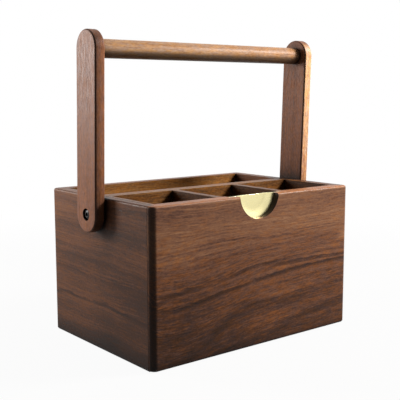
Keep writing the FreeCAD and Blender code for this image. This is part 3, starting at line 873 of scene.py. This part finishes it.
def boltRings(look):
    top = -look["headHeight"]
    floor = top + look["socketDepth"]
    rings = [(floor + look["drillPoint"], 0, "round"), (floor, look["socket"], "hex"),
             (top + look["mouthDepth"], look["socket"], "hex"),
             (top, look["socket"] + look["mouthEase"], "round"), (top, look["crown"], "round")]
    drop = look["headHeight"] - look["headRim"]
    for step in range(1, look["domeSteps"] + 1):
        share = math.sin(0.5 * math.pi * step / look["domeSteps"])
        fall = 1 - math.cos(0.5 * math.pi * step / look["domeSteps"])
        rings.append((top + drop * (look["domeSlope"] * share + (1 - look["domeSlope"]) * fall),
                      look["crown"] + (look["headRadius"] - look["crown"]) * share, "round"))
    tip = look["shankLength"]
    rings += [(-0.06, look["headRadius"], "round"), (0, look["headRadius"] - 0.1, "round"),
              (0, look["shankRadius"], "round"), (tip - look["chamfer"], look["shankRadius"], "round"),
              (tip, look["shankRadius"] - look["chamfer"], "round"), (tip, 0, "round")]
    return [(height * mm, radius * mm, kind) for height, radius, kind in rings]


def collarFor(name, node, sizes, material):
    low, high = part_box(node)
    inner, outer, ease = (size * mm for size in sizes)
    piece = turned(name, easedCollar(inner, outer, 0, high.x - low.x, ease), pivot["sides"], around=True)
    laidAlongX(piece, (low.x, middle(node).y, middle(node).z), 1)
    return finished(piece, material, node)


for side, sign in (("left", 1), ("right", -1)):
    low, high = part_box(side + "_pivot_bolt")
    seat = low.x + pivot["headHeight"] * mm if sign > 0 else high.x - pivot["headHeight"] * mm
    bolt = turned(side + "PivotBolt", boltRings(pivot), pivot["sides"])
    laidAlongX(bolt, (seat, middle(side + "_pivot_bolt").y, middle(side + "_pivot_bolt").z), sign)
    finished(bolt, blackSteel, side + "_pivot_bolt")
    collarFor(side + "HeadWasher", side + "_head_washer", pivot["washer"], blackSteel)
    collarFor(side + "PivotSpacer", side + "_spacer", pivot["spacer"], nylon)
    collarFor(side + "PivotInsert", side + "_pivot_insert", pivot["insert"], brass)
print("pivots turned")


# Screws, set by Geometry Nodes at the places of the solids

screws = {
    "baseScrews": {"node": "base_screws", "head": 3.0, "shank": 1.5, "length": 18.0,
                   "facing": (180, 0, 0), "seed": 3, "proud": 0.0},
    "railScrews": {"node": "rail_screws", "head": 3.0, "shank": 1.5, "length": 11.0,
                   "facing": (180, 0, 0), "seed": 5, "proud": 0.0},
    "plateScrews": {"node": "pull_plate_screws", "head": 2.1, "shank": 1.1, "length": 5.5,
                    "facing": (-90, 0, 0), "seed": 7, "proud": 0.1},
}
screwSides = 48
screwFinish = {"base_screws": zincSteel, "rail_screws": zincSteel, "pull_plate_screws": brass}


def screwRings(look):
    # the recess and the rim are shares of the head's radius
    head, shank, length = look["head"], look["shank"], look["length"]
    rings = [(-0.52 * head, 0, "round"), (-0.40 * head, 0.42 * head, "cross"), (0, 0.60 * head, "cross"),
             (0, 0.94 * head, "round"), (-0.05 * head, head, "round"), (-0.09 * head, head, "round"),
             (-(head - shank) - 0.09 * head, shank, "round"), (-length + 2 * shank, shank, "round"),
             (-length, 0, "round")]
    return [(height * mm, radius * mm, kind) for height, radius, kind in rings]


def screwPlaces(node, facing, proud):
    # the middle of each screw's outer end, from the loose parts of the node
    shape = bmesh.new()
    shape.from_mesh(nodes[node].data)
    bmesh.ops.remove_doubles(shape, verts=shape.verts, dist=eased["weld"])
    turn = Matrix.Rotation(math.radians(facing[0]), 3, "X")
    outward = turn @ Vector((0, 0, 1))
    places, waiting = [], set(shape.verts)
    while waiting:
        group, edge = set(), [waiting.pop()]
        while edge:
            vert = edge.pop()
            group.add(vert)
            for link in vert.link_edges:
                other = link.other_vert(vert)
                if other in waiting:
                    waiting.remove(other)
                    edge.append(other)
        points = [vert.co.copy() for vert in group]
        low = Vector(min(point[axis] for point in points) for axis in range(3))
        high = Vector(max(point[axis] for point in points) for axis in range(3))
        centre = (low + high) / 2
        top = max(point.dot(outward) for point in points)
        places.append(centre + outward * (top - centre.dot(outward) + proud * mm))
    shape.free()
    return sorted(places, key=lambda place: (round(place.x, 5), round(place.y, 5), round(place.z, 5)))


def addSocket(tree, way, kind, name):
    return tree.interface.new_socket(name, in_out=way, socket_type="NodeSocket" + kind)


def fastenerTree():
    # puts one fastener at each point, turned about its own axis by chance
    tree = bpy.data.node_groups.new("setFasteners", "GeometryNodeTree")
    tree.is_modifier = True
    for kind, name in (("Geometry", "Places"), ("Object", "Fastener"), ("Rotation", "Facing"),
                       ("Int", "Seed"), ("Material", "Finish")):
        addSocket(tree, "INPUT", kind, name)
    addSocket(tree, "OUTPUT", "Geometry", "Geometry")
    given = tree.nodes.new("NodeGroupInput")
    result = tree.nodes.new("NodeGroupOutput")
    source = tree.nodes.new("GeometryNodeObjectInfo")
    source.inputs["As Instance"].default_value = True
    chance = tree.nodes.new("FunctionNodeRandomValue")
    chance.data_type = "FLOAT"
    chance.inputs[3].default_value = 2 * math.pi
    spin = tree.nodes.new("ShaderNodeCombineXYZ")
    euler = tree.nodes.new("FunctionNodeEulerToRotation")
    turn = tree.nodes.new("FunctionNodeRotateRotation")
    turn.rotation_space = "LOCAL"
    scatter = tree.nodes.new("GeometryNodeInstanceOnPoints")
    real = tree.nodes.new("GeometryNodeRealizeInstances")
    finish = tree.nodes.new("GeometryNodeSetMaterial")
    for output, target in (
        (given.outputs["Fastener"], source.inputs["Object"]),
        (given.outputs["Seed"], chance.inputs["Seed"]),
        (chance.outputs[1], spin.inputs["Z"]),
        (spin.outputs[0], euler.inputs[0]),
        (given.outputs["Facing"], turn.inputs["Rotation"]),
        (euler.outputs[0], turn.inputs["Rotate By"]),
        (given.outputs["Places"], scatter.inputs["Points"]),
        (source.outputs["Geometry"], scatter.inputs["Instance"]),
        (turn.outputs[0], scatter.inputs["Rotation"]),
        (scatter.outputs[0], real.inputs[0]),
        (real.outputs[0], finish.inputs["Geometry"]),
        (given.outputs["Finish"], finish.inputs["Material"]),
        (finish.outputs[0], result.inputs[0]),
    ):
        tree.links.new(output, target)
    return tree


def nodesModifier(piece, tree, values):
    modifier = piece.modifiers.new(tree.name, "NODES")
    modifier.node_group = tree
    for item in tree.interface.items_tree:
        if item.name in values and item.in_out == "INPUT":
            modifier[item.identifier] = values[item.name]
    return modifier


setFasteners = fastenerTree()
for name, look in screws.items():
    template = turned(name + "Pattern", screwRings(look), screwSides)
    mesh = bpy.data.meshes.new(name)
    places = screwPlaces(look["node"], look["facing"], look["proud"])
    mesh.from_pydata([tuple(place) for place in places], [], [])
    piece = bpy.data.objects.new(name, mesh)
    bpy.context.scene.collection.objects.link(piece)
    finish = screwFinish[look["node"]]
    facing = [math.radians(angle) for angle in look["facing"]]
    nodesModifier(piece, setFasteners, {"Fastener": template, "Facing": facing, "Seed": look["seed"],
                                        "Finish": finish})
    finished(piece, finish, look["node"])
    bpy.data.objects.remove(template)
print("screws set")


# Grip bar: a curve that swells from the tenons to the round between the arms

gripBar = {"radius": 8.0, "shoulder": 116.5, "tenonRadius": 6.0, "ease": 0.7, "steps": 5, "sides": 72}


def turnedBarTree():
    # sweeps a circle along a line of points, as thick as each point's thickness says
    tree = bpy.data.node_groups.new("turnedBar", "GeometryNodeTree")
    tree.is_modifier = True
    for kind, name in (("Geometry", "Line"), ("Int", "Sides"), ("Material", "Finish")):
        addSocket(tree, "INPUT", kind, name)
    addSocket(tree, "OUTPUT", "Geometry", "Geometry")
    given = tree.nodes.new("NodeGroupInput")
    result = tree.nodes.new("NodeGroupOutput")
    path = tree.nodes.new("GeometryNodeMeshToCurve")
    thickness = tree.nodes.new("GeometryNodeInputNamedAttribute")
    thickness.data_type = "FLOAT"
    thickness.inputs["Name"].default_value = "thickness"
    circle = tree.nodes.new("GeometryNodeCurvePrimitiveCircle")
    circle.inputs["Radius"].default_value = 1.0
    sweep = tree.nodes.new("GeometryNodeCurveToMesh")
    sweep.inputs["Fill Caps"].default_value = True
    real = tree.nodes.new("GeometryNodeRealizeInstances")
    finish = tree.nodes.new("GeometryNodeSetMaterial")
    for output, target in (
        (given.outputs["Line"], path.inputs["Mesh"]),
        (given.outputs["Sides"], circle.inputs["Resolution"]),
        (path.outputs[0], sweep.inputs["Curve"]),
        (circle.outputs[0], sweep.inputs["Profile Curve"]),
        (thickness.outputs[0], sweep.inputs["Scale"]),
        (sweep.outputs[0], real.inputs[0]),
        (real.outputs[0], finish.inputs["Geometry"]),
        (given.outputs["Finish"], finish.inputs["Material"]),
        (finish.outputs[0], result.inputs[0]),
    ):
        tree.links.new(output, target)
    return tree


def barPoints(look, tip):
    # distance from the middle and radius, from the tenon's end to the first full round of the bar
    points = [(tip, look["tenonRadius"] - 0.4), (tip - 0.4, look["tenonRadius"]),
              (look["shoulder"] + 0.01, look["tenonRadius"])]
    for step in range(look["steps"] + 1):
        turn = 0.5 * math.pi * step / look["steps"]
        points.append((look["shoulder"] - look["ease"] * (1 - math.cos(turn)),
                       look["radius"] - look["ease"] * (1 - math.sin(turn))))
    return points


def makeGripBar(look):
    low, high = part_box("grip_bar")
    half = [(x, radius) for x, radius in barPoints(look, high.x / mm)]
    line = [(-x, radius) for x, radius in half] + [(x, radius) for x, radius in reversed(half)]
    centre = middle("grip_bar")
    mesh = bpy.data.meshes.new("gripBar")
    mesh.from_pydata([(x * mm, centre.y, centre.z) for x, radius in line],
                     [(step, step + 1) for step in range(len(line) - 1)], [])
    thickness = mesh.attributes.new("thickness", "FLOAT", "POINT")
    thickness.data.foreach_set("value", [radius * mm for x, radius in line])
    piece = bpy.data.objects.new("gripBar", mesh)
    bpy.context.scene.collection.objects.link(piece)
    material = wood("gripBarWalnut", "x flat", centre, barGrain)
    nodesModifier(piece, turnedBarTree(), {"Sides": look["sides"], "Finish": material})
    finished(piece, material, "grip_bar")
    piece.data.shade_smooth()
    piece.data.set_sharp_from_angle(angle=math.radians(50))


makeGripBar(gripBar)
print("grip bar turned")


# Brass plate behind the notch: rounded below, with a shallow dish for the finger

pullPlate = {
    "corner": 6.0, "cornerRows": 8, "rowStep": 0.7, "columns": 86,
    "dishCentre": 136.6, "dishRadius": 24.5, "dishSlope": 11.0, "dishDepth": 2.0,
    "ease": 0.2, "easeSegments": 3, "easeAngle": 50,
}


def plateRows(look, bottom, top):
    # closer together where the lower corners turn
    corner, turns = look["corner"], look["cornerRows"]
    rows = [bottom + corner * (1 - math.cos(0.5 * math.pi * step / turns)) for step in range(turns + 1)]
    count = round((top - rows[-1]) / look["rowStep"])
    return rows + [rows[-1] + (top - rows[-1]) * step / count for step in range(1, count + 1)]


def dishDepthAt(look, x, z):
    inward = (look["dishRadius"] - math.hypot(x, z - look["dishCentre"])) / look["dishSlope"]
    share = min(1.0, max(0.0, inward))
    return look["dishDepth"] * share * share * (3 - 2 * share)


def plateLine(shape, look, face, half, bottom, z):
    inset = max(0.0, look["corner"] - (z - bottom))
    width = half - look["corner"] + math.sqrt(look["corner"] ** 2 - inset ** 2)
    line = []
    for column in range(look["columns"] + 1):
        x = width * (2 * column / look["columns"] - 1)
        line.append(shape.verts.new((x * mm, face + dishDepthAt(look, x, z) * mm, z * mm)))
    return line


def rimOf(grid):
    right = [line[-1] for line in grid[1:]]
    left = [line[0] for line in grid[-2:0:-1]]
    return grid[0] + right + grid[-1][-2::-1] + left


def makePullPlate(look):
    low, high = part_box("pull_plate")
    half, bottom, top = high.x / mm, low.z / mm, high.z / mm
    shape = bmesh.new()
    rims = []
    for face in (low.y, high.y):
        grid = [plateLine(shape, look, face, half, bottom, z) for z in plateRows(look, bottom, top)]
        for lower, upper in zip(grid, grid[1:]):
            for column in range(look["columns"]):
                shape.faces.new((lower[column], lower[column + 1], upper[column + 1], upper[column]))
        rims.append(rimOf(grid))
    front, back = rims
    for step in range(len(front)):
        after = (step + 1) % len(front)
        shape.faces.new((front[after], front[step], back[step], back[after]))
    bmesh.ops.recalc_face_normals(shape, faces=shape.faces)
    mesh = bpy.data.meshes.new("pullPlate")
    shape.to_mesh(mesh)
    shape.free()
    mesh.shade_smooth()
    piece = bpy.data.objects.new("pullPlate", mesh)
    bpy.context.scene.collection.objects.link(piece)
    bevel = piece.modifiers.new("edge", "BEVEL")
    bevel.width = look["ease"] * mm
    bevel.segments = look["easeSegments"]
    bevel.limit_method = "ANGLE"
    bevel.angle_limit = math.radians(look["easeAngle"])
    piece.modifiers.new("flat faces", "WEIGHTED_NORMAL").keep_sharp = True
    finished(piece, brass, "pull_plate")


makePullPlate(pullPlate)
print("pull plate pressed")
